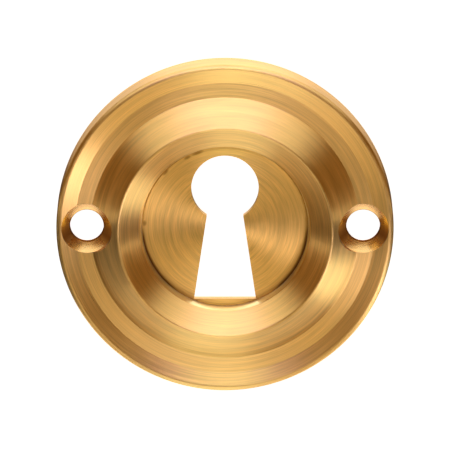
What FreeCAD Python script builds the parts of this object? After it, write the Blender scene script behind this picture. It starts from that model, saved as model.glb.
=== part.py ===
import FreeCAD, Part
import math
import os

# Round brass escutcheon plate for a lever lock's keyhole, turned in one piece.
# Millimetres. The plate stands upright as it does on a door: X runs to the right, Z up along the
# keyhole, and the front faces -Y. The back plane is y = 0 and the plate's axis is the Y axis.
# A height is a distance in front of the back plane.

# Sunk centre and the radial widths round it, out to the rim
CENTRE_DIAMETER = 24.7
STEP_WALL_DRAFT = 0.25
RIDGE_INNER_FLANK_WIDTH = 3.25
RIDGE_OUTER_FLANK_WIDTH = 4.1
FLAT_BAND_WIDTH = 2.25
RIM_BAND_WIDTH = 2.8

# Depths and thicknesses, measured from the recess turned in the back
RECESS_DEPTH = 1.8
SEAT_WIDTH = 1.5
CENTRE_THICKNESS = 1.2
STEP_DEPTH = 1.9
RIDGE_RISE_FROM_STEP = 2.6
FLAT_BAND_THICKNESS = 2.6
RIM_BAND_RISE = 0.8

# Fine groove that the turning tool leaves in the corner of the sunk centre
CORNER_GROOVE_WIDTH = 0.2
CORNER_GROOVE_DEPTH = 0.2

# Rounded edges on the front, and chamfered edges on the back
STEP_EDGE_ROUND = 0.15
CREST_ROUND = 0.4
RIDGE_FOOT_ROUND = 0.25
RIM_FRONT_ROUND = 0.65
RIM_BACK_CHAMFER = 0.25
SEAT_EDGE_CHAMFER = 0.15

# Keyhole, set in the sunk centre by its clearances to the corner groove
KEY_ROUND_DIAMETER = 10.0
KEY_NECK_WIDTH = 5.4
KEY_FOOT_WIDTH = 9.2
KEY_TOP_CLEARANCE = 1.4
KEY_FOOT_CORNER_CLEARANCE = 0.05

# Screw holes
SCREW_HOLE_DIAMETER = 5.0
COUNTERSINK_DIAMETER = 7.5
COUNTERSINK_ANGLE = 82.0
SCREW_CENTRE_FROM_RIDGE_FOOT = 0.55

# Cutters run this far past the faces that they cut through
CUT_MARGIN = 1.0

# Radii that follow from the sizes above
centre_radius = CENTRE_DIAMETER / 2
groove_inner_radius = centre_radius - CORNER_GROOVE_WIDTH
step_top_radius = centre_radius + STEP_WALL_DRAFT
crest_radius = step_top_radius + RIDGE_INNER_FLANK_WIDTH
ridge_foot_radius = crest_radius + RIDGE_OUTER_FLANK_WIDTH
flat_band_radius = ridge_foot_radius + FLAT_BAND_WIDTH
outer_radius = flat_band_radius + RIM_BAND_WIDTH
recess_radius = outer_radius - SEAT_WIDTH
screw_centre_radius = ridge_foot_radius + SCREW_CENTRE_FROM_RIDGE_FOOT

# Heights that follow from the sizes above
centre_height = RECESS_DEPTH + CENTRE_THICKNESS
groove_height = centre_height - CORNER_GROOVE_DEPTH
step_top_height = centre_height + STEP_DEPTH
crest_height = step_top_height + RIDGE_RISE_FROM_STEP
flat_band_height = RECESS_DEPTH + FLAT_BAND_THICKNESS
rim_height = flat_band_height + RIM_BAND_RISE


def corner_edge(point, last_point, next_point, finish, size):
    """Start, end and edge of one finished corner: no edge if sharp, a line if chamfered, an arc if round."""
    if finish == "sharp":
        return point, point, None
    towards_last = (last_point - point).normalize()
    towards_next = (next_point - point).normalize()
    if finish == "chamfer":
        start = point + towards_last * size
        end = point + towards_next * size
        return start, end, Part.LineSegment(start, end).toShape()
    half_angle = towards_last.getAngle(towards_next) / 2
    start = point + towards_last * (size / math.tan(half_angle))
    end = point + towards_next * (size / math.tan(half_angle))
    bisector = (towards_last + towards_next).normalize()
    middle = point + bisector * (size / math.sin(half_angle) - size)
    return start, end, Part.Arc(start, middle, end).toShape()


def section_wire(corners):
    """Closed wire through (radius, height, finish, size) corners, where size is a round's or a chamfer's."""
    points = [FreeCAD.Vector(radius, -height, 0) for radius, height, finish, size in corners]
    finished = []
    for index, point in enumerate(points):
        next_point = points[(index + 1) % len(points)]
        finished.append(corner_edge(point, points[index - 1], next_point, *corners[index][2:]))

    edges = []
    for index, (start, end, edge) in enumerate(finished):
        if edge is not None:
            edges.append(edge)
        next_start = finished[(index + 1) % len(finished)][0]
        edges.append(Part.LineSegment(end, next_start).toShape())
    return Part.Wire(edges)


def turned_blank():
    """The plate before it is drilled: its whole section turned about the Y axis."""
    section = section_wire([
        (0, centre_height, "sharp", 0),
        (groove_inner_radius, centre_height, "sharp", 0),
        (groove_inner_radius, groove_height, "sharp", 0),
        (centre_radius, groove_height, "sharp", 0),
        (centre_radius, centre_height, "sharp", 0),
        (step_top_radius, step_top_height, "round", STEP_EDGE_ROUND),
        (crest_radius, crest_height, "round", CREST_ROUND),
        (ridge_foot_radius, flat_band_height, "round", RIDGE_FOOT_ROUND),
        (flat_band_radius, flat_band_height, "sharp", 0),
        (outer_radius, rim_height, "round", RIM_FRONT_ROUND),
        (outer_radius, 0, "chamfer", RIM_BACK_CHAMFER),
        (recess_radius, 0, "chamfer", SEAT_EDGE_CHAMFER),
        (recess_radius, RECESS_DEPTH, "sharp", 0),
        (0, RECESS_DEPTH, "sharp", 0),
    ])
    return Part.Face(section).revolve(FreeCAD.Vector(0, 0, 0), FreeCAD.Vector(0, 1, 0), 360)


def keyhole_cutter():
    """Prism of the keyhole: a round with a straight-sided tail that widens to a flat foot."""
    round_radius = KEY_ROUND_DIAMETER / 2
    neck = KEY_NECK_WIDTH / 2
    foot = KEY_FOOT_WIDTH / 2
    top_height = groove_inner_radius - KEY_TOP_CLEARANCE
    round_centre_height = top_height - round_radius
    neck_height = round_centre_height - math.sqrt(round_radius ** 2 - neck ** 2)
    corner_radius = groove_inner_radius - KEY_FOOT_CORNER_CLEARANCE
    foot_height = -math.sqrt(corner_radius ** 2 - foot ** 2)

    neck_left = FreeCAD.Vector(-neck, CUT_MARGIN, neck_height)
    neck_right = FreeCAD.Vector(neck, CUT_MARGIN, neck_height)
    round_top = FreeCAD.Vector(0, CUT_MARGIN, top_height)
    foot_left = FreeCAD.Vector(-foot, CUT_MARGIN, foot_height)
    foot_right = FreeCAD.Vector(foot, CUT_MARGIN, foot_height)
    outline = Part.Wire([
        Part.Arc(neck_left, round_top, neck_right).toShape(),
        Part.LineSegment(neck_right, foot_right).toShape(),
        Part.LineSegment(foot_right, foot_left).toShape(),
        Part.LineSegment(foot_left, neck_left).toShape(),
    ])
    return Part.Face(outline).extrude(FreeCAD.Vector(0, -(crest_height + 2 * CUT_MARGIN), 0))


def screw_hole_cutter(side):
    """Drill and countersink for one screw hole, on the -X or +X side of the keyhole."""
    hole_radius = SCREW_HOLE_DIAMETER / 2
    countersink_radius = COUNTERSINK_DIAMETER / 2
    cone_depth = (countersink_radius - hole_radius) / math.tan(math.radians(COUNTERSINK_ANGLE / 2))
    cutter_front = -(crest_height + CUT_MARGIN)
    section = Part.makePolygon([
        FreeCAD.Vector(0, CUT_MARGIN, 0),
        FreeCAD.Vector(hole_radius, CUT_MARGIN, 0),
        FreeCAD.Vector(hole_radius, cone_depth - flat_band_height, 0),
        FreeCAD.Vector(countersink_radius, -flat_band_height, 0),
        FreeCAD.Vector(countersink_radius, cutter_front, 0),
        FreeCAD.Vector(0, cutter_front, 0),
        FreeCAD.Vector(0, CUT_MARGIN, 0),
    ])
    cutter = Part.Face(section).revolve(FreeCAD.Vector(0, 0, 0), FreeCAD.Vector(0, 1, 0), 360)
    cutter.translate(FreeCAD.Vector(side * screw_centre_radius, 0, 0))
    return cutter


def escutcheon_plate():
    """The finished plate: the turned blank with its keyhole and two countersunk screw holes."""
    return turned_blank().cut([keyhole_cutter(), screw_hole_cutter(-1), screw_hole_cutter(1)])


os.makedirs("parts", exist_ok=True)
escutcheon_plate().exportStep("parts/escutcheon_plate.step")
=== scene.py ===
import math

import bpy
from mathutils import Matrix, Vector


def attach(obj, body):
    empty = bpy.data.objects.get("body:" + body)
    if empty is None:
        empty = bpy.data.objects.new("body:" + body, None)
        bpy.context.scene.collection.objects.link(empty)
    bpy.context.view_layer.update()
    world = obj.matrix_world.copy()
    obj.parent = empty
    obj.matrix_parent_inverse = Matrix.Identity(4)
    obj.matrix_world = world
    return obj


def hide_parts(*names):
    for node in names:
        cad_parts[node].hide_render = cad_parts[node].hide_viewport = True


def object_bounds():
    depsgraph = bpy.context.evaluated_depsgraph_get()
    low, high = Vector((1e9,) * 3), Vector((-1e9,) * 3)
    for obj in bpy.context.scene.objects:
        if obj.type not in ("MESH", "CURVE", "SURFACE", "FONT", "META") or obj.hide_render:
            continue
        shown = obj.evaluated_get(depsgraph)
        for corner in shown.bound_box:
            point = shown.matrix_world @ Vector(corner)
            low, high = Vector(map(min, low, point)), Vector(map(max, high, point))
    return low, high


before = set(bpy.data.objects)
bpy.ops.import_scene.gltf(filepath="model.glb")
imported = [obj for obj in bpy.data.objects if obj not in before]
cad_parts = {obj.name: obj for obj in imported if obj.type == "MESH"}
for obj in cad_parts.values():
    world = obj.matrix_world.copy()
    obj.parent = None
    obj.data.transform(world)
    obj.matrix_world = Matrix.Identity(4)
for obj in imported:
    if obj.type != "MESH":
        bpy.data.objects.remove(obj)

# Round brass escutcheon plate. Metres, in the frame's own axes: the plate stands upright, its axis
# is Y, its front faces -Y and its back plane is y = 0. A height is a distance in front of that plane.
cad_low, cad_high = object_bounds()

MM = 0.001

# Radii of the turned section, from the sunk centre out to the rim
GROOVE_INNER_RADIUS = 12.15 * MM
GROOVE_OUTER_RADIUS = 12.35 * MM
STEP_TOP_RADIUS = 12.6 * MM
CREST_RADIUS = 15.85 * MM
RIDGE_FOOT_RADIUS = 19.95 * MM
FLAT_BAND_RADIUS = 22.2 * MM
OUTER_RADIUS = cad_high.x
RECESS_RADIUS = OUTER_RADIUS - 1.5 * MM

# Heights of the turned section
RECESS_HEIGHT = 1.8 * MM
CENTRE_HEIGHT = RECESS_HEIGHT + 1.2 * MM
GROOVE_HEIGHT = CENTRE_HEIGHT - 0.2 * MM
STEP_TOP_HEIGHT = CENTRE_HEIGHT + 1.9 * MM
CREST_HEIGHT = STEP_TOP_HEIGHT + 2.6 * MM
FLAT_BAND_HEIGHT = RECESS_HEIGHT + 2.6 * MM
RIM_HEIGHT = FLAT_BAND_HEIGHT + 0.8 * MM

# Rounds on the front edges and chamfers on the back ones
STEP_EDGE_ROUND = 0.15 * MM
CREST_ROUND = 0.4 * MM
RIDGE_FOOT_ROUND = 0.25 * MM
RIM_FRONT_ROUND = 0.65 * MM
RIM_BACK_CHAMFER = 0.25 * MM
SEAT_EDGE_CHAMFER = 0.15 * MM

# Keyhole and screw holes
KEY_ROUND_RADIUS = 5.0 * MM
KEY_ROUND_HEIGHT = GROOVE_INNER_RADIUS - 1.4 * MM - KEY_ROUND_RADIUS
KEY_NECK_HALF_WIDTH = 2.7 * MM
KEY_FOOT_HALF_WIDTH = 4.6 * MM
KEY_FOOT_CORNER_RADIUS = GROOVE_INNER_RADIUS - 0.05 * MM
SCREW_CENTRE_RADIUS = RIDGE_FOOT_RADIUS + 0.55 * MM
SCREW_HOLE_RADIUS = 2.5 * MM
COUNTERSINK_RADIUS = 3.75 * MM
COUNTERSINK_HALF_ANGLE = math.radians(41)
COUNTERSINK_DEPTH = (COUNTERSINK_RADIUS - SCREW_HOLE_RADIUS) / math.tan(COUNTERSINK_HALF_ANGLE)
CUT_MARGIN = 1.0 * MM

# How finely the curves are divided
PLATE_SEGMENTS = 288
HOLE_SEGMENTS = 96
ROUND_STEPS = 8

# How near a face has to be to a surface, a direction or the level to count as lying on it
ON_SURFACE = 0.01 * MM
SAME_DIRECTION = 0.99
LEVEL_FACE = 0.9999


def turned_point(radius, height, angle):
    """Point of the turned surface at an angle about the plate's axis."""
    return Vector((radius * math.cos(angle), -height, radius * math.sin(angle)))


def finished_corner(corner, last_corner, next_corner):
    """Points of one corner of the section, and the centre of its round. A sharp corner has one point and a
    chamfered one has two, and neither has a centre."""
    point = Vector(corner[:2])
    finish, size = corner[2:]
    if finish == "sharp":
        return [point], None
    towards_last = (Vector(last_corner[:2]) - point).normalized()
    towards_next = (Vector(next_corner[:2]) - point).normalized()
    if finish == "chamfer":
        return [point + towards_last * size, point + towards_next * size], None
    half_angle = towards_last.angle(towards_next) / 2
    bisector = (towards_last + towards_next).normalized()
    centre = point + bisector * (size / math.sin(half_angle))
    start = point + towards_last * (size / math.tan(half_angle)) - centre
    end = point + towards_next * (size / math.tan(half_angle)) - centre
    points = []
    for step in range(ROUND_STEPS + 1):
        points.append(centre + start.slerp(end, step / ROUND_STEPS) * size)
    return points, centre


def section_runs(corners):
    """The section as straight runs: (start, end, centre of the round that the run belongs to, or None)."""
    runs = []
    last_point = None
    for index in range(len(corners)):
        next_corner = corners[(index + 1) % len(corners)]
        points, centre = finished_corner(corners[index], corners[index - 1], next_corner)
        if last_point is not None:
            runs.append((last_point, points[0], None))
        for start, end in zip(points, points[1:]):
            runs.append((start, end, centre))
        last_point = points[-1]
    return runs


# The whole section, from the sunk centre over the front and the rim to the recess in the back
section = section_runs([
    (GROOVE_INNER_RADIUS, CENTRE_HEIGHT, "sharp", 0),
    (GROOVE_INNER_RADIUS, GROOVE_HEIGHT, "sharp", 0),
    (GROOVE_OUTER_RADIUS, GROOVE_HEIGHT, "sharp", 0),
    (GROOVE_OUTER_RADIUS, CENTRE_HEIGHT, "sharp", 0),
    (STEP_TOP_RADIUS, STEP_TOP_HEIGHT, "round", STEP_EDGE_ROUND),
    (CREST_RADIUS, CREST_HEIGHT, "round", CREST_ROUND),
    (RIDGE_FOOT_RADIUS, FLAT_BAND_HEIGHT, "round", RIDGE_FOOT_ROUND),
    (FLAT_BAND_RADIUS, FLAT_BAND_HEIGHT, "sharp", 0),
    (OUTER_RADIUS, RIM_HEIGHT, "round", RIM_FRONT_ROUND),
    (OUTER_RADIUS, 0, "chamfer", RIM_BACK_CHAMFER),
    (RECESS_RADIUS, 0, "chamfer", SEAT_EDGE_CHAMFER),
    (RECESS_RADIUS, RECESS_HEIGHT, "sharp", 0),
])


def new_mesh_object(name, vertices, faces, material):
    """A mesh object in the scene, from its vertices and faces."""
    mesh = bpy.data.meshes.new(name)
    mesh.from_pydata(vertices, [], faces)
    mesh.materials.append(material)
    mesh.validate()
    piece = bpy.data.objects.new(name, mesh)
    bpy.context.scene.collection.objects.link(piece)
    return piece


def lathe(name, points, segments, centre, material):
    """Closed solid turned about the Y axis through the centre, from (radius, height) points, front first."""
    vertices = []
    for radius, height in points:
        for index in range(segments):
            angle = 2 * math.pi * index / segments
            vertices.append(turned_point(radius, height, angle) + centre)
    faces = [list(range(segments))]
    for ring in range(len(points) - 1):
        near = ring * segments
        far = near + segments
        for index in range(segments):
            following = (index + 1) % segments
            faces.append([near + following, near + index, far + index, far + following])
    last = (len(points) - 1) * segments
    faces.append([last + index for index in reversed(range(segments))])
    return new_mesh_object(name, vertices, faces, material)


def screw_hole_cutter(side, material):
    """Drill and countersink of one screw hole, on the -X or +X side."""
    points = [
        (COUNTERSINK_RADIUS, CREST_HEIGHT + CUT_MARGIN),
        (COUNTERSINK_RADIUS, FLAT_BAND_HEIGHT),
        (SCREW_HOLE_RADIUS, FLAT_BAND_HEIGHT - COUNTERSINK_DEPTH),
        (SCREW_HOLE_RADIUS, -CUT_MARGIN),
    ]
    centre = Vector((side * SCREW_CENTRE_RADIUS, 0, 0))
    return lathe("screw_hole_cutter", points, HOLE_SEGMENTS, centre, material)


def keyhole_cutter(material):
    """Prism of the keyhole: a round with a straight-sided tail that widens to a flat foot."""
    foot_height = -math.sqrt(KEY_FOOT_CORNER_RADIUS ** 2 - KEY_FOOT_HALF_WIDTH ** 2)
    neck_angle = math.asin(KEY_NECK_HALF_WIDTH / KEY_ROUND_RADIUS)
    outline = [(-KEY_FOOT_HALF_WIDTH, foot_height), (KEY_FOOT_HALF_WIDTH, foot_height)]
    for step in range(HOLE_SEGMENTS + 1):
        angle = neck_angle + (2 * math.pi - 2 * neck_angle) * step / HOLE_SEGMENTS
        x = KEY_ROUND_RADIUS * math.sin(angle)
        z = KEY_ROUND_HEIGHT - KEY_ROUND_RADIUS * math.cos(angle)
        outline.append((x, z))
    count = len(outline)
    vertices = [(x, -CREST_HEIGHT - CUT_MARGIN, z) for x, z in outline]
    vertices += [(x, CUT_MARGIN, z) for x, z in outline]
    faces = [list(range(count)), list(reversed(range(count, 2 * count)))]
    for index in range(count):
        following = (index + 1) % count
        faces.append([following, index, count + index, count + following])
    return new_mesh_object("keyhole_cutter", vertices, faces, material)


def cut(piece, cutter):
    """Takes the cutter's solid out of the piece, keeping the cutter's material on the cut faces."""
    modifier = piece.modifiers.new("cut", "BOOLEAN")
    modifier.operation = "DIFFERENCE"
    modifier.solver = "EXACT"
    modifier.material_mode = "TRANSFER"
    modifier.object = cutter
    depsgraph = bpy.context.evaluated_depsgraph_get()
    cut_mesh = bpy.data.meshes.new_from_object(piece.evaluated_get(depsgraph))
    piece.modifiers.clear()
    piece.data = cut_mesh
    bpy.data.objects.remove(cutter)


def nearest_run(spot):
    """The run of the section that passes nearest to a (radius, height) spot."""
    def distance(run):
        start, end = run[:2]
        along = end - start
        share = max(0, min(1, (spot - start).dot(along) / along.length_squared))
        return (start + along * share - spot).length

    return min(section, key=distance)


def turned_normal(position, middle):
    """Exact normal of the turned surface at a corner of a face. The face's middle tells its run."""
    start, end, centre = nearest_run(Vector((math.hypot(middle.x, middle.z), -middle.y)))
    outward = Vector((start.y - end.y, end.x - start.x)).normalized()
    if centre is not None:
        away = Vector((math.hypot(position.x, position.z), -position.y)) - centre
        outward = away.normalized() * (1 if away.dot(outward) > 0 else -1)
    around = math.atan2(position.z, position.x)
    return Vector((outward.x * math.cos(around), -outward.y, outward.x * math.sin(around)))


def hole_normal(position, flat_normal):
    """Exact normal inside a screw hole: towards its axis, with the slope of the face."""
    axis_x = math.copysign(SCREW_CENTRE_RADIUS, position.x)
    inward = Vector((axis_x - position.x, 0, -position.z)).normalized()
    slope = flat_normal.y
    return inward * math.sqrt(max(0, 1 - slope * slope)) + Vector((0, slope, 0))


def keyhole_normal(position, flat_normal):
    """Exact normal on the keyhole's wall: towards the centre of its round, or the flat side's own."""
    inward = Vector((-position.x, 0, KEY_ROUND_HEIGHT - position.z))
    on_round = abs(inward.length - KEY_ROUND_RADIUS) < ON_SURFACE
    if on_round and inward.normalized().dot(flat_normal) > SAME_DIRECTION:
        return inward.normalized()
    return flat_normal.copy()


def set_exact_normals(piece, hole_material, key_material):
    """Gives every corner of the piece's faces the normal of the true surface that the face lies on."""
    mesh = piece.data
    normals = []
    for face in mesh.polygons:
        material = mesh.materials[face.material_index]
        flat = face.normal
        is_level = abs(flat.y) > LEVEL_FACE
        for corner in face.loop_indices:
            position = mesh.vertices[mesh.loops[corner].vertex_index].co
            if is_level:
                normals.append(flat.copy())
            elif material == hole_material:
                normals.append(hole_normal(position, flat))
            elif material == key_material:
                normals.append(keyhole_normal(position, flat))
            else:
                normals.append(turned_normal(position, face.center))
    mesh.polygons.foreach_set("use_smooth", [True] * len(mesh.polygons))
    mesh.normals_split_custom_set(normals)


class NodeTools:
    """Short ways to add and join nodes in the node tree of one material, lamp or world."""

    def __init__(self, tree):
        self.tree = tree

    def add(self, kind):
        """A new node."""
        return self.tree.nodes.new(kind)

    def join(self, source, socket):
        """Sets a socket from another node's output, or from a plain value."""
        if isinstance(source, bpy.types.NodeSocket):
            self.tree.links.new(source, socket)
        else:
            socket.default_value = source

    def maths(self, operation, first, second=0.0):
        """Output of a Math node."""
        node = self.add("ShaderNodeMath")
        node.operation = operation
        self.join(first, node.inputs[0])
        self.join(second, node.inputs[1])
        return node.outputs[0]

    def chain(self, operation, first, *others):
        """Output of Math nodes that take in one value after another."""
        for other in others:
            first = self.maths(operation, first, other)
        return first

    def vector_maths(self, operation, first, second=(0, 0, 0), output="Vector"):
        """Output of a Vector Math node."""
        node = self.add("ShaderNodeVectorMath")
        node.operation = operation
        self.join(first, node.inputs[0])
        self.join(second, node.inputs[1])
        return node.outputs[output]

    def dot(self, first, second):
        """Dot product of two vectors."""
        return self.vector_maths("DOT_PRODUCT", first, second, output="Value")

    def scaled(self, vector, factor):
        """A vector or colour times a number."""
        node = self.add("ShaderNodeVectorMath")
        node.operation = "SCALE"
        self.join(vector, node.inputs[0])
        self.join(factor, node.inputs["Scale"])
        return node.outputs[0]

    def spread(self, source, low, high, new_low, new_high, shape="LINEAR"):
        """Output of a Map Range node, which keeps within its new range."""
        node = self.add("ShaderNodeMapRange")
        node.interpolation_type = shape
        for socket, value in zip(node.inputs, (source, low, high, new_low, new_high)):
            self.join(value, socket)
        return node.outputs[0]

    def noise(self, place, scale, detail=2.0, roughness=0.5):
        """Output of a Noise Texture node."""
        node = self.add("ShaderNodeTexNoise")
        self.join(place, node.inputs["Vector"])
        node.inputs["Scale"].default_value = scale
        node.inputs["Detail"].default_value = detail
        node.inputs["Roughness"].default_value = roughness
        return node.outputs["Fac"]

    def bump(self, height, distance):
        """Output of a Bump node, for a height from 0 to 1 that stands for the distance."""
        node = self.add("ShaderNodeBump")
        node.inputs["Distance"].default_value = distance
        self.join(height, node.inputs["Height"])
        return node.outputs[0]


# Brass, its tone on the sunk centre, a paler tone on the step's wall that is a painted reflection, and a
# brown for tarnish and painted shade
BRASS = (0.87, 0.53, 0.165)
PAINTED_REFLECTION_WALL_BRASS = (1.0, 0.8, 0.36)
CENTRE_BRASS = (0.87, 0.515, 0.135)
SHADE_AND_TARNISH = (0.22, 0.075, 0.008)

# Highlights are drawn out across the lines, a quarter turn from the tangent
HIGHLIGHT_TURN = 0.25

# The part of each noise's range that is spread over its shades
FINE_NOISE = (0.25, 0.75)
BROAD_NOISE = (0.3, 0.7)
PATCHY_NOISE = (0.35, 0.65)
LINE_NOISE_ROUGHNESS = 0.6


def brass_nodes(name, roughness, anisotropic):
    """New brass material, before its surface detail."""
    material = bpy.data.materials.new(name)
    material.use_nodes = True
    nodes = NodeTools(material.node_tree)
    nodes.material = material
    nodes.shader = material.node_tree.nodes["Principled BSDF"]
    nodes.shader.inputs["Base Color"].default_value = BRASS + (1,)
    nodes.shader.inputs["Metallic"].default_value = 1.0
    nodes.shader.inputs["Roughness"].default_value = roughness
    nodes.shader.inputs["Anisotropic"].default_value = anisotropic
    nodes.shader.inputs["Anisotropic Rotation"].default_value = HIGHLIGHT_TURN
    return nodes


def colour_with_shade_and_dirt(nodes, brass, shade, unmarked):
    """Brass times a tone where the last value is 1, down to brown where it is 0, with a duller shine there.
    The brown stands for tarnish and for painted shade.
    """
    brass_part = nodes.scaled(brass, nodes.maths("MULTIPLY", shade, unmarked))
    shade_and_dirt_part = nodes.scaled(SHADE_AND_TARNISH, nodes.maths("SUBTRACT", 1, unmarked))
    nodes.join(nodes.vector_maths("ADD", brass_part, shade_and_dirt_part), nodes.shader.inputs["Base Color"])
    nodes.join(nodes.scaled((1, 1, 1), unmarked), nodes.shader.inputs["Specular Tint"])


def plate_position(nodes):
    """Position on the plate."""
    return nodes.add("ShaderNodeTexCoord").outputs["Object"]


def flattened(nodes, place):
    """A position moved to the back plane, so that its length is its distance from the Y axis."""
    return nodes.vector_maths("MULTIPLY", place, (1, 0, 1))


def height_of(nodes, place):
    """Height of a position in front of the back plane."""
    return nodes.dot(place, (0, -1, 0))


def line_noise(nodes, outward, across, line_width, arcs, detail=2.0):
    """Noise drawn out into arcs: it changes over each line's width, and slowly along the line."""
    spot = nodes.add("ShaderNodeCombineXYZ")
    nodes.join(nodes.maths("MULTIPLY", across, 1 / line_width), spot.inputs["Y"])
    place = nodes.vector_maths("ADD", nodes.scaled(outward, arcs), spot.outputs[0])
    return nodes.noise(place, 1.0, detail, LINE_NOISE_ROUGHNESS)


# Turning lines on the plate's faces: their width, how often they change along an arc, and the ranges
# of their shade and of the roughness that they add
FINE_LINE = 0.16 * MM
FINE_ARCS = 2.4
FINE_SHADE = (0.84, 1.15)
FINE_ROUGHNESS = (-0.04, 0.04)
BROAD_LINE = 0.55 * MM
BROAD_ARCS = 0.9
BROAD_SHADE = (0.86, 1.1)
BROAD_ROUGHNESS = (-0.03, 0.03)
LINE_DEPTH = 0.008 * MM

# How much the height counts beside the radius in spacing the lines, which gives lines to steep faces
SIDE_STRETCH = 0.5

# Faint patches of tone
TONE_PATCH = 5 * MM
TONE_SHADE = (0.97, 1.03)

# Painted shade, mixed with dirt, in and beside the corner groove. It lies thick in two stretches, each with
# its middle at an angle about the axis, and thin and broken elsewhere. The reach is the cosine of the angle
# from the middle, where the stretch starts and where it is full. Each brass-left value is how much brass
# colour stays.
THICK_SHADE_AND_DIRT_ANGLES = [333, 208]
THICK_SHADE_AND_DIRT_REACH = (0.86, 0.95)
THICK_GROOVE_BRASS_LEFT = 0.15
THIN_GROOVE_BRASS_LEFT = 0.6
LEAST_GROOVE_SHADE_AND_DIRT = 0.1
WALL_FOOT_RISE = 0.9 * MM
WALL_FOOT_BRASS_LEFT = 0.35
EDGE_SHADE_AND_STAIN_WIDTH = 0.3 * MM
EDGE_BRASS_LEFT = 0.7
SHADE_AND_DIRT_PATCH_WIDTH = 2 * EDGE_SHADE_AND_STAIN_WIDTH
SHADE_AND_DIRT_PATCH_ARCS = 6.0
DULL_ROUGHNESS = 0.25

# How sharply the painted shade, dirt and tones end at the section's edges, and how far they keep from the
# recess
EDGE_FADE = 0.01 * MM
WALL_TOP_FADE = 0.05 * MM
RECESS_GAP = 0.1 * MM

# Tool nicks in the edge of the sunk centre: angle about the axis in degrees, radius, length and width
NICKS = [
    (178, 12.0 * MM, 0.95 * MM, 0.8 * MM),
    (137, 12.0 * MM, 1.3 * MM, 0.5 * MM),
    (110, 11.9 * MM, 2.0 * MM, 0.6 * MM),
    (118, 11.85 * MM, 1.2 * MM, 0.5 * MM),
]
NICK_CLEAN = 0.4
NICK_DEPTH = 0.5 * MM
NICK_FADE = 0.3


def in_front_of_recess(nodes, height):
    """1 in front of the recess in the back, and 0 down in it."""
    return nodes.spread(height, RECESS_HEIGHT + RECESS_GAP, RECESS_HEIGHT + 2 * RECESS_GAP, 0, 1)


def thick_shade_and_dirt(nodes, outward):
    """Painted shade with dirt in the stretches of the corner groove where they lie thick, and 0 away from
    them.
    """
    thick = 0.0
    for angle in THICK_SHADE_AND_DIRT_ANGLES:
        angle = math.radians(angle)
        nearness = nodes.dot(outward, (math.cos(angle), 0, math.sin(angle)))
        stretch = nodes.spread(nearness, *THICK_SHADE_AND_DIRT_REACH, 0, 1 - THICK_GROOVE_BRASS_LEFT)
        thick = nodes.maths("MAXIMUM", thick, stretch)
    return thick


def groove_shade_and_dirt(nodes, height, patches, thick):
    """Painted shade with dirt in the corner groove, below the face of the sunk centre."""
    below_face = nodes.spread(height, CENTRE_HEIGHT - 2 * EDGE_FADE, CENTRE_HEIGHT - EDGE_FADE, 1, 0)
    thin = nodes.spread(patches, *PATCHY_NOISE, 1 - THIN_GROOVE_BRASS_LEFT, LEAST_GROOVE_SHADE_AND_DIRT)
    return nodes.maths("MULTIPLY", below_face, nodes.maths("MAXIMUM", thin, thick))


def wall_foot_shade_and_dirt(nodes, radius, height, thick):
    """Painted shade with dirt on the foot of the step's wall, beside the thick stretches of the groove."""
    wall_start = GROOVE_OUTER_RADIUS - 2 * EDGE_FADE
    on_wall = nodes.spread(radius, wall_start, wall_start + EDGE_FADE, 0, 1)
    foot = nodes.spread(height, CENTRE_HEIGHT, CENTRE_HEIGHT + WALL_FOOT_RISE, 1 - WALL_FOOT_BRASS_LEFT, 0)
    return nodes.chain("MULTIPLY", on_wall, foot, thick)


def edge_shade_and_stain(nodes, radius, patches, thick):
    """Painted shade with stain on the edge of the sunk centre, beside the groove."""
    on_centre = nodes.spread(radius, GROOVE_INNER_RADIUS, GROOVE_INNER_RADIUS + EDGE_FADE, 1, 0)
    shade_and_stain_start = GROOVE_INNER_RADIUS - EDGE_SHADE_AND_STAIN_WIDTH
    near_edge = nodes.spread(radius, shade_and_stain_start, GROOVE_INNER_RADIUS, 0, on_centre)
    thin = nodes.spread(patches, *PATCHY_NOISE, 0, 1 - EDGE_BRASS_LEFT)
    return nodes.maths("MULTIPLY", near_edge, nodes.maths("MAXIMUM", thin, thick))


def crevice_brass_left(nodes, outward, radius, height):
    """How much of the brass colour is left in and beside the corner groove under painted shade and dirt,
    from 1 down to 0.
    """
    thick = thick_shade_and_dirt(nodes, outward)
    patches = line_noise(nodes, outward, radius, SHADE_AND_DIRT_PATCH_WIDTH, SHADE_AND_DIRT_PATCH_ARCS)
    inside_ridge = nodes.spread(radius, STEP_TOP_RADIUS, STEP_TOP_RADIUS + EDGE_FADE, 1, 0)
    here = nodes.maths("MULTIPLY", in_front_of_recess(nodes, height), inside_ridge)
    shade_and_dirt = nodes.chain(
        "MAXIMUM",
        groove_shade_and_dirt(nodes, height, patches, thick),
        wall_foot_shade_and_dirt(nodes, radius, height, thick),
        edge_shade_and_stain(nodes, radius, patches, thick),
    )
    return nodes.maths("SUBTRACT", 1, nodes.maths("MULTIPLY", here, shade_and_dirt))


def nick_clean(nodes, place):
    """How clean the plate is at its tool nicks, from 1 beside them down to dark in them."""
    unmarked = 1.0
    for angle, radius, length, width in NICKS:
        angle = math.radians(angle)
        from_nick = nodes.vector_maths("SUBTRACT", place, turned_point(radius, CENTRE_HEIGHT, angle))
        directions = [
            (math.cos(angle) / width, 0, math.sin(angle) / width),
            (-math.sin(angle) / length, 0, math.cos(angle) / length),
            (0, 1 / NICK_DEPTH, 0),
        ]
        squares = [nodes.maths("POWER", nodes.dot(from_nick, direction), 2) for direction in directions]
        away = nodes.chain("ADD", *squares)
        unmarked = nodes.maths("MULTIPLY", unmarked, nodes.spread(away, 0, NICK_FADE, NICK_CLEAN, 1))
    return unmarked


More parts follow.
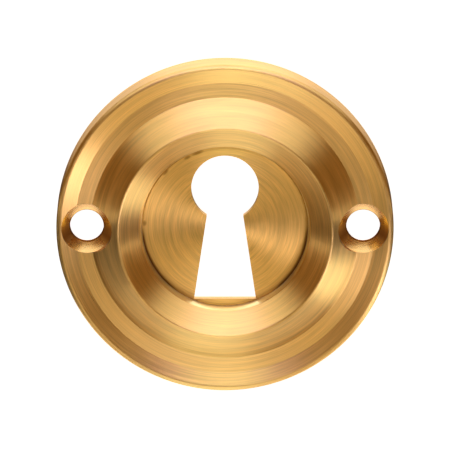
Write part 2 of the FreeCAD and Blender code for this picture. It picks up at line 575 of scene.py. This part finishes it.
def turned_colour(nodes, radius, height):
    """Brass colour of the turned faces: deeper on the sunk centre, and paler on the step's wall as a painted
    reflection.
    """
    beyond_centre = nodes.spread(radius, GROOVE_OUTER_RADIUS - 2 * EDGE_FADE, GROOVE_OUTER_RADIUS, 0, 1)
    beyond_wall = nodes.spread(radius, STEP_TOP_RADIUS - WALL_TOP_FADE, STEP_TOP_RADIUS, 0, 1)
    on_centre = nodes.maths("SUBTRACT", 1, beyond_centre)
    on_wall = nodes.maths("SUBTRACT", beyond_centre, beyond_wall)
    in_front = in_front_of_recess(nodes, height)
    colour = BRASS
    for tone, part in ((CENTRE_BRASS, on_centre), (PAINTED_REFLECTION_WALL_BRASS, on_wall)):
        change = nodes.scaled(Vector(tone) - Vector(BRASS), nodes.maths("MULTIPLY", in_front, part))
        colour = nodes.vector_maths("ADD", colour, change)
    return colour


def turned_brass(name, roughness, anisotropic):
    """Brass from the lathe: fine and broad lines round the axis, with streaks in tone and polish."""
    nodes = brass_nodes(name, roughness, anisotropic)
    place = plate_position(nodes)
    flat = flattened(nodes, place)
    outward = nodes.vector_maths("NORMALIZE", flat)
    radius = nodes.vector_maths("LENGTH", flat, output="Value")
    height = height_of(nodes, place)
    nodes.join(nodes.vector_maths("CROSS_PRODUCT", place, (0, 1, 0)), nodes.shader.inputs["Tangent"])

    across = nodes.maths("ADD", radius, nodes.maths("MULTIPLY", height, SIDE_STRETCH))
    fine = line_noise(nodes, outward, across, FINE_LINE, FINE_ARCS)
    broad = line_noise(nodes, outward, across, BROAD_LINE, BROAD_ARCS, detail=3.0)
    patches = nodes.noise(place, 1 / TONE_PATCH)
    shade = nodes.chain(
        "MULTIPLY",
        nodes.spread(fine, *FINE_NOISE, *FINE_SHADE),
        nodes.spread(broad, *BROAD_NOISE, *BROAD_SHADE),
        nodes.spread(patches, *BROAD_NOISE, *TONE_SHADE),
    )
    # Painted shade and dirt in and beside the groove, with the dark of the tool nicks
    unmarked = nodes.maths("MULTIPLY", crevice_brass_left(nodes, outward, radius, height), nick_clean(nodes, place))
    colour_with_shade_and_dirt(nodes, turned_colour(nodes, radius, height), shade, unmarked)

    uneven = nodes.chain(
        "ADD",
        roughness,
        nodes.spread(fine, *FINE_NOISE, *FINE_ROUGHNESS),
        nodes.spread(broad, *BROAD_NOISE, *BROAD_ROUGHNESS),
        nodes.spread(unmarked, 0, 1, DULL_ROUGHNESS, 0),
    )
    nodes.join(uneven, nodes.shader.inputs["Roughness"])
    nodes.join(nodes.bump(fine, LINE_DEPTH), nodes.shader.inputs["Normal"])
    return nodes.material


# Screw holes: the lines of drill and countersink, and the painted shade down in the bore
DRILL_LINE = 0.12 * MM
DRILL_ARCS = 1.5
DRILL_SHADE = (0.88, 1.08)
DRILL_ROUGHNESS = (-0.03, 0.03)
DRILL_LINE_DEPTH = LINE_DEPTH / 2
BORE_TOP_HEIGHT = FLAT_BAND_HEIGHT - COUNTERSINK_DEPTH
BORE_SHADE_FADE = (BORE_TOP_HEIGHT - 0.05 * MM, BORE_TOP_HEIGHT + 0.15 * MM)
BORE_BRASS_LEFT = 0.06
BORE_DULL_ROUGHNESS = 0.3

# A darker brown low on both sides of each countersink. The ranges are shares of the direction from the
# hole's axis: sideways the darkening grows over its range, and upwards it fades.
SIDE_DARKENING = 0.85
DARKENING_SIDEWAYS = (0.7, 0.92)
DARKENING_UPWARD = (-0.5, 0.4)


def drilled_brass_left(nodes, outward, height):
    """How much of the brass colour a screw hole keeps, from 1 down to 0: painted shade down in the bore, and
    a darker brown low on both sides of each countersink.
    """
    bore = nodes.spread(height, *BORE_SHADE_FADE, BORE_BRASS_LEFT, 1)
    sideways = nodes.maths("ABSOLUTE", nodes.dot(outward, (1, 0, 0)))
    upward = nodes.dot(outward, (0, 0, 1))
    at_sides = nodes.spread(sideways, *DARKENING_SIDEWAYS, 0, SIDE_DARKENING)
    side_darkening = nodes.maths("MULTIPLY", at_sides, nodes.spread(upward, *DARKENING_UPWARD, 1, 0))
    return nodes.maths("MULTIPLY", bore, nodes.maths("SUBTRACT", 1, side_darkening))


def drilled_brass(name, roughness, anisotropic):
    """Brass of the screw holes: bright, with its lines round each hole's own axis, and painted shade down in
    the bore.
    """
    nodes = brass_nodes(name, roughness, anisotropic)
    place = plate_position(nodes)
    height = height_of(nodes, place)
    side = nodes.maths("SIGN", nodes.dot(place, (1, 0, 0)))
    from_hole = nodes.vector_maths("SUBTRACT", place, nodes.scaled((SCREW_CENTRE_RADIUS, 0, 0), side))
    nodes.join(nodes.vector_maths("CROSS_PRODUCT", from_hole, (0, 1, 0)), nodes.shader.inputs["Tangent"])

    outward = nodes.vector_maths("NORMALIZE", flattened(nodes, from_hole))
    lines = line_noise(nodes, outward, height, DRILL_LINE, DRILL_ARCS)
    unmarked = drilled_brass_left(nodes, outward, height)
    colour_with_shade_and_dirt(nodes, BRASS, nodes.spread(lines, *BROAD_NOISE, *DRILL_SHADE), unmarked)
    uneven = nodes.chain(
        "ADD",
        roughness,
        nodes.spread(lines, *BROAD_NOISE, *DRILL_ROUGHNESS),
        nodes.spread(unmarked, 0, 1, BORE_DULL_ROUGHNESS, 0),
    )
    nodes.join(uneven, nodes.shader.inputs["Roughness"])
    nodes.join(nodes.bump(lines, DRILL_LINE_DEPTH), nodes.shader.inputs["Normal"])
    return nodes.material


# Keyhole's wall: the width and length of the saw's strokes, and how clean the wall is over them
SAW_LINE = 0.1 * MM
SAW_STROKE = 10 * SAW_LINE
KEY_WALL_CLEAN = (0.8, 1.0)


def sawn_brass(name, roughness):
    """Brass of the keyhole's wall: dull, with fine strokes that run through the plate."""
    nodes = brass_nodes(name, roughness, anisotropic=0.0)
    drawn_out = (1 / SAW_LINE, 1 / SAW_STROKE, 1 / SAW_LINE)
    strokes = nodes.noise(nodes.vector_maths("MULTIPLY", plate_position(nodes), drawn_out), 1.0)
    colour_with_shade_and_dirt(nodes, BRASS, 1.0, nodes.spread(strokes, *BROAD_NOISE, *KEY_WALL_CLEAN))
    nodes.join(nodes.bump(strokes, LINE_DEPTH), nodes.shader.inputs["Normal"])
    return nodes.material


plate_brass = turned_brass("turned_brass", roughness=0.33, anisotropic=0.9)
hole_brass = drilled_brass("drilled_brass", roughness=0.21, anisotropic=0.4)
key_brass = sawn_brass("sawn_brass", roughness=0.35)

turned_points = [tuple(run[0]) for run in section] + [tuple(section[-1][1])]
plate = lathe("plate", turned_points, PLATE_SEGMENTS, Vector(), plate_brass)
cut(plate, keyhole_cutter(key_brass))
cut(plate, screw_hole_cutter(-1, hole_brass))
cut(plate, screw_hole_cutter(1, hole_brass))
set_exact_normals(plate, hole_brass, key_brass)
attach(plate, "root")
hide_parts("escutcheon_plate")

# Camera: nearly parallel rays, from 15 degrees above the plate's axis
CAMERA_PITCH = math.radians(15)
CAMERA_DISTANCE = 1.0
VIEW_WIDTH = 66.96 * MM
SENSOR_WIDTH = 36
CLIP_START = 0.05
AIM_DROP = 0.64 * MM


def add_camera():
    """The camera, aimed a little below the middle of the plate's back."""
    camera_data = bpy.data.cameras.new("camera")
    camera_data.sensor_width = SENSOR_WIDTH
    camera_data.lens = SENSOR_WIDTH * CAMERA_DISTANCE / VIEW_WIDTH
    camera_data.clip_start = CLIP_START
    camera = bpy.data.objects.new("camera", camera_data)
    bpy.context.scene.collection.objects.link(camera)
    up = Vector((0, math.sin(CAMERA_PITCH), math.cos(CAMERA_PITCH)))
    away = Vector((0, -math.cos(CAMERA_PITCH), math.sin(CAMERA_PITCH)))
    camera.location = away * CAMERA_DISTANCE - up * AIM_DROP
    camera.rotation_euler = (math.pi / 2 - CAMERA_PITCH, 0, 0)
    bpy.context.scene.camera = camera


add_camera()


def soften_lamp(lamp_data, core):
    """Fades the lamp towards its edges, from full brightness over the core share of its half size."""
    lamp_data.use_nodes = True
    nodes = NodeTools(lamp_data.node_tree)
    place = nodes.add("ShaderNodeNewGeometry").outputs["Parametric"]
    from_middle = nodes.vector_maths("ABSOLUTE", nodes.vector_maths("SUBTRACT", place, (0.5, 0.5, 0)))
    across_fade = nodes.spread(nodes.dot(from_middle, (2, 0, 0)), core, 1, 1, 0, "SMOOTHSTEP")
    along_fade = nodes.spread(nodes.dot(from_middle, (0, 2, 0)), core, 1, 1, 0, "SMOOTHSTEP")
    strength = nodes.maths("MULTIPLY", across_fade, along_fade)
    nodes.join(strength, nodes.tree.nodes["Emission"].inputs["Strength"])


def add_lamp(name, around, from_axis, distance, width, length, core, colour):
    """Rectangular soft lamp aimed at the plate. Its direction is an angle round the plate's axis and one
    away from it, its length runs away from the axis, and its colour is what a mirror would show of it."""
    lamp_data = bpy.data.lights.new(name, "AREA")
    lamp_data.shape = "RECTANGLE"
    lamp_data.size = width
    lamp_data.size_y = length
    lamp_data.color = colour
    lamp_data.energy = math.pi * width * length
    soften_lamp(lamp_data, core)
    lamp = bpy.data.objects.new(name, lamp_data)
    bpy.context.scene.collection.objects.link(lamp)
    around, from_axis = math.radians(around), math.radians(from_axis)
    direction = Vector((
        math.sin(from_axis) * math.cos(around),
        -math.cos(from_axis),
        math.sin(from_axis) * math.sin(around),
    ))
    across = Vector((-math.sin(around), 0, math.cos(around)))
    lamp.location = direction * distance
    lamp.rotation_euler = Matrix((across, direction.cross(across), direction)).transposed().to_euler()


# Name, angle round the axis and away from it, distance, width, length, core and colour
add_lamp("overhead_wide", 90, 58, 0.8, 3.0, 0.8, 0.25, (1.45, 1.63, 1.72))
add_lamp("overhead_box", 90, 38, 0.8, 0.9, 0.7, 0.3, (0.9, 0.58, 2.9))
add_lamp("overhead_back", 90, 86, 0.8, 3.0, 0.3, 0.6, (1.3, 1.5, 2.2))
add_lamp("high_front", 90, 26, 0.6, 0.36, 0.16, 0.3, (2.73, 4.29, 0.9))
add_lamp("low_front", 260, 30, 0.45, 0.19, 0.2, 0.3, (0.65, 0.74, 1.4))
add_lamp("low_strip", 264, 62, 0.45, 0.3, 0.37, 0.3, (0.94, 1.34, 1.53))
add_lamp("right_front", 317, 37, 0.6, 0.16, 0.4, 0.3, (4.94, 4.6, 6.36))
add_lamp("right_back", 322, 80, 0.6, 0.3, 0.7, 0.3, (1.24, 1.55, 1.76))
add_lamp("front_glow", 268, 33, 0.45, 0.66, 0.36, 0.3, (1.28, 1.11, 0.72))
add_lamp("rear_top", 90, 165, 0.7, 0.5, 0.32, 0.3, (0.6, 0.5, 0.45))
add_lamp("rear_high", 90, 125, 0.7, 1.0, 0.75, 0.4, (1.15, 1.15, 1.4))
add_lamp("low_middle", 270, 38, 0.6, 0.09, 0.2, 0.3, (1.65, 1.95, 1.92))

ROOM_GLOW = Vector((0.2, 0.1, 0.01))


def add_world():
    """The dim warm room round the plate. It shows white to the camera."""
    world = bpy.data.worlds.new("studio")
    world.use_nodes = True
    nodes = NodeTools(world.node_tree)
    rays = nodes.add("ShaderNodeLightPath").outputs
    seen = nodes.maths("MAXIMUM", rays["Is Camera Ray"], rays["Is Transmission Ray"])
    colour = nodes.vector_maths("ADD", ROOM_GLOW, nodes.scaled(Vector((1, 1, 1)) - ROOM_GLOW, seen))
    nodes.join(colour, nodes.tree.nodes["Background"].inputs["Color"])
    bpy.context.scene.world = world


add_world()
bpy.context.scene.view_settings.view_transform = "Standard"

# Stage: a level floor below the plate, and an upright backdrop behind it
STAGE_WHITE = (0.85, 0.85, 0.85, 1)
FLOOR_DROP = 0.5
FLOOR_HALF_SIZE = 6
BACKDROP_CENTRE = Vector((0, 4, 6))
BACKDROP_HALF_WIDTH = 6
BACKDROP_HALF_HEIGHT = 8

# Dark cards: one lies just above the floor from a little in front of the plate, and two stand on the
# floor on each side
CARD_CLOTH = (0.05, 0.045, 0.04, 1)
CARD_ROUGHNESS = 0.9
FRONT_CARD_EDGE = 0.07
FRONT_CARD_GAP = 0.01
FRONT_CARD_HALF_WIDTH = 3
FRONT_CARD_HALF_DEPTH = 2
UPRIGHT_CARD_HALF_HEIGHT = 0.25
REAR_CARD_SIDEWAYS = 0.32
REAR_CARD_BACK = 0.8
REAR_CARD_HALF_WIDTH = 0.25
SIDE_CARD_SIDEWAYS = 0.55
SIDE_CARD_BACK = 0.4
SIDE_CARD_HALF_WIDTH = 0.38


def white_stage_material(name):
    """Plain white that keeps shadows, and shows white to the camera and in reflections."""
    material = bpy.data.materials.new(name)
    material.use_nodes = True
    nodes = NodeTools(material.node_tree)
    nodes.tree.nodes.clear()
    rays = nodes.add("ShaderNodeLightPath").outputs
    seen = nodes.chain("ADD", rays["Is Camera Ray"], rays["Is Glossy Ray"], rays["Is Transmission Ray"])
    diffuse = nodes.add("ShaderNodeBsdfDiffuse")
    nodes.join(STAGE_WHITE, diffuse.inputs["Color"])
    glow = nodes.add("ShaderNodeEmission")
    nodes.join(seen, glow.inputs["Strength"])
    both = nodes.add("ShaderNodeAddShader")
    nodes.join(diffuse.outputs[0], both.inputs[0])
    nodes.join(glow.outputs[0], both.inputs[1])
    nodes.join(both.outputs[0], nodes.add("ShaderNodeOutputMaterial").inputs["Surface"])
    return material


def dark_card_material(name):
    """Matt dark cloth."""
    material = bpy.data.materials.new(name)
    material.use_nodes = True
    shader = material.node_tree.nodes["Principled BSDF"]
    shader.inputs["Base Color"].default_value = CARD_CLOTH
    shader.inputs["Roughness"].default_value = CARD_ROUGHNESS
    return material


def add_stage_plane(name, centre, half_width, half_height, normal_axis, material):
    """Flat rectangle of the stage: level, upright across the view, or upright along it."""
    across, along = {
        "Z": (Vector((half_width, 0, 0)), Vector((0, half_height, 0))),
        "Y": (Vector((half_width, 0, 0)), Vector((0, 0, half_height))),
        "X": (Vector((0, half_width, 0)), Vector((0, 0, half_height))),
    }[normal_axis]
    corners = [
        centre - across - along,
        centre + across - along,
        centre + across + along,
        centre - across + along,
    ]
    plane = new_mesh_object(name, corners, [[0, 1, 2, 3]], material)
    return plane


def add_card(name, centre, half_width, half_height, normal_axis):
    """Dark card beside the view that keeps the plate's darker sides dark. The camera doesn't see it."""
    card = add_stage_plane(name, centre, half_width, half_height, normal_axis, card_cloth)
    card.visible_camera = False


def add_upright_card(name, sideways, back, half_width, normal_axis):
    """Dark card that stands on the floor."""
    centre = Vector((sideways, back, UPRIGHT_CARD_HALF_HEIGHT - FLOOR_DROP))
    add_card(name, centre, half_width, UPRIGHT_CARD_HALF_HEIGHT, normal_axis)


stage_white = white_stage_material("stage_white")
card_cloth = dark_card_material("dark_card")
floor_centre = Vector((0, 0, -FLOOR_DROP))
add_stage_plane("floor", floor_centre, FLOOR_HALF_SIZE, FLOOR_HALF_SIZE, "Z", stage_white)
add_stage_plane("backdrop", BACKDROP_CENTRE, BACKDROP_HALF_WIDTH, BACKDROP_HALF_HEIGHT, "Y", stage_white)
front_card_centre = Vector((0, -FRONT_CARD_EDGE - FRONT_CARD_HALF_DEPTH, FRONT_CARD_GAP - FLOOR_DROP))
add_card("front_card", front_card_centre, FRONT_CARD_HALF_WIDTH, FRONT_CARD_HALF_DEPTH, "Z")
for side in (-1, 1):
    add_upright_card("rear_card", side * REAR_CARD_SIDEWAYS, REAR_CARD_BACK, REAR_CARD_HALF_WIDTH, "Y")
    add_upright_card("side_card", side * SIDE_CARD_SIDEWAYS, SIDE_CARD_BACK, SIDE_CARD_HALF_WIDTH, "X")
